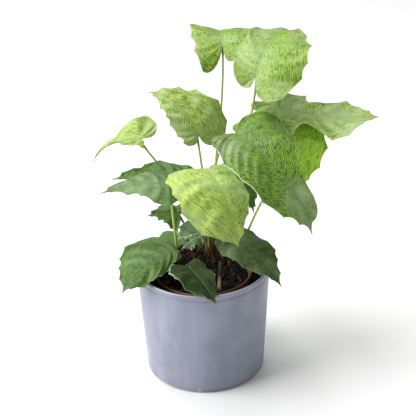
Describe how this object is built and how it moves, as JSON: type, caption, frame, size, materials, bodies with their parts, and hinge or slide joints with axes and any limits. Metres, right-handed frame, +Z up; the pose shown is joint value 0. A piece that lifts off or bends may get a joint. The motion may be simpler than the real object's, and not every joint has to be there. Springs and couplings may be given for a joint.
{
  "type": "potted calathea",
  "caption": "Clump of broad mosaic-patterned leaves on slender stalks, rooted in a soil-filled nursery pot that stands inside a glazed cachepot.",
  "frame": {"origin": "centre of the cachepot's underside", "axes": "+Z up along the pot's axis, -Y towards the pictured front, +X to the right"},
  "size_m": [0.2936, 0.2629, 0.349],
  "materials": {
    "grey_blue_glaze": "satin glaze",
    "terracotta_plastic": "dull, thin-walled",
    "peat": "damp crumbly peat",
    "dry_stem": "dry and fibrous",
    "fresh_leaf": "satin, with a fine yellow-green mosaic",
    "mature_leaf": "satin, with a fine mosaic",
    "pale_leaf": "satin, with a pale bloom",
    "young_leaf": "satin, pale at the margin"
  },
  "bodies": {
    "root": {"cachepot": "grey_blue_glaze", "nursery_pot": "terracotta_plastic", "soil": "peat", "dry_stem": "dry_stem", "leaf_top_left": "fresh_leaf", "leaf_top_right": "fresh_leaf", "leaf_mid_left": "fresh_leaf", "leaf_far_left": "fresh_leaf", "leaf_centre_right": "mature_leaf", "leaf_right_long": "mature_leaf", "leaf_right_hanging": "fresh_leaf", "leaf_behind_right": "mature_leaf", "leaf_front_pale": "pale_leaf", "leaf_west_front": "mature_leaf", "leaf_west_back": "mature_leaf", "leaf_under_left": "mature_leaf", "leaf_behind_centre": "mature_leaf", "leaf_low_left": "mature_leaf", "leaf_low_back": "mature_leaf", "leaf_low_front": "mature_leaf", "leaf_low_right": "mature_leaf", "leaf_low_rear": "mature_leaf", "leaf_small_grey": "young_leaf", "leaf_young_folded": "young_leaf"}
  },
  "joints": []
}
